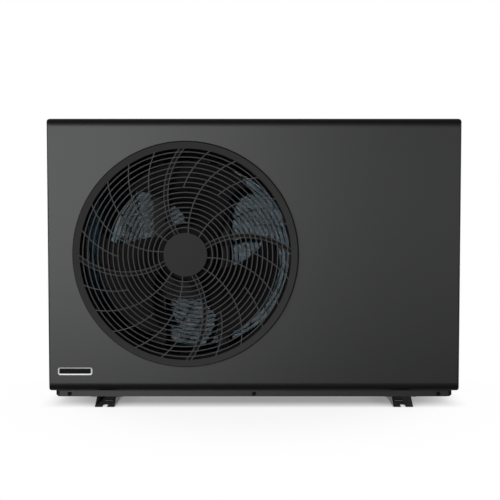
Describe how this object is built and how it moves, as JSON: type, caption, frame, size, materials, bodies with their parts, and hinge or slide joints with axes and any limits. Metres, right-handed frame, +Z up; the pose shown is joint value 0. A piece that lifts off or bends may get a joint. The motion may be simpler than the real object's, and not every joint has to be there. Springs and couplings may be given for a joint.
{
  "type": "pool heat pump",
  "caption": "Free-standing pool heat pump: rolled dark grey cabinet on channel feet with a large off-centre fan behind a swirl guard and water unions at the rear.",
  "frame": {"origin": "on the floor, in the middle of the unit's width and of its depth from the fan guard to the unions' ends", "axes": "+Z up, the front with the fan guard faces -Y, +X to the right seen from the front"},
  "size_m": [0.9, 0.446, 0.63],
  "materials": {
    "panel_grey": "satin dark grey powder coat",
    "guard_plastic": "matte dark grey moulded plastic",
    "black_plastic": "matte black moulded plastic",
    "galvanised": "galvanised sheet steel",
    "black_paint": "black paint",
    "steel": "zinc-plated steel",
    "motor_grey": "grey paint",
    "coil_blue": "blue hydrophilic fin coating",
    "copper": "bare copper tube",
    "rubber": "black rubber",
    "vessel_plastic": "dark grey PVC",
    "titanium": "bare titanium tube",
    "pipe_plastic": "light grey PVC",
    "nut_plastic": "black ABS",
    "board": "green circuit board",
    "aluminium": "extruded aluminium",
    "terminal_plastic": "white nylon",
    "lid_clear": "smoked clear plastic"
  },
  "bodies": {
    "casing": {"front_panel": "panel_grey", "top_cover": "panel_grey", "left_panel": "panel_grey", "right_panel": "panel_grey", "rear_panel": "panel_grey", "fan_guard": "guard_plastic", "left_guard": "guard_plastic", "rear_guard": "guard_plastic", "fan_shroud": "black_plastic", "left_handle": "black_plastic", "right_handle": "black_plastic", "drain_spigot": "black_plastic", "cable_glands": "black_plastic", "controller": "black_plastic", "base_pan": "galvanised", "partition": "galvanised", "motor_bracket": "galvanised", "tube_sheets": "galvanised", "electrical_box": "galvanised", "electrical_cover": "galvanised", "left_foot": "black_paint", "right_foot": "black_paint", "compressor": "black_paint", "accumulator": "black_paint", "shroud_nuts": "steel", "foot_bolts": "steel", "foot_nuts": "steel", "motor_screws": "steel", "compressor_bolts": "steel", "lid_pin": "steel", "skirt_screws": "steel", "casing_screws": "steel", "fan_motor": "motor_grey", "coil_fins": "coil_blue", "coil_tubes": "copper", "return_bends": "copper", "four_way_valve": "copper", "expansion_valve": "copper", "discharge_pipe": "copper", "suction_pipe": "copper", "exchanger_gas_pipe": "copper", "coil_gas_pipe": "copper", "liquid_pipe": "copper", "coil_liquid_pipe": "copper", "compressor_grommets": "rubber", "union_seals": "rubber", "exchanger_shell": "vessel_plastic", "exchanger_cap": "vessel_plastic", "exchanger_coil": "titanium", "inlet_tailpiece": "pipe_plastic", "outlet_tailpiece": "pipe_plastic", "inverter_board": "board", "heat_sink": "aluminium", "terminal_block": "terminal_plastic"},
    "fan_rotor": {"fan": "black_plastic", "fan_nut": "steel", "motor_shaft": "steel"},
    "inlet_nut": {"inlet_union_nut": "nut_plastic"},
    "outlet_nut": {"outlet_union_nut": "nut_plastic"},
    "lid": {"controller_lid": "lid_clear"}
  },
  "joints": [
    {"name": "fan_spin", "type": "hinge", "parent": "casing", "child": "fan_rotor", "pos_m": [-0.149, -0.131, 0.334], "axis": [0, -1, 0], "continuous": true},
    {"name": "inlet_nut_turn", "type": "hinge", "parent": "casing", "child": "inlet_nut", "pos_m": [0.352, 0.19, 0.1045], "axis": [0, 1, 0], "continuous": true},
    {"name": "outlet_nut_turn", "type": "hinge", "parent": "casing", "child": "outlet_nut", "pos_m": [0.352, 0.19, 0.2945], "axis": [0, 1, 0], "continuous": true},
    {"name": "lid_hinge", "type": "hinge", "parent": "casing", "child": "lid", "pos_m": [0.4425, -0.026, 0.4894], "axis": [0, -1, 0], "range_deg": [0, 110]}
  ]
}
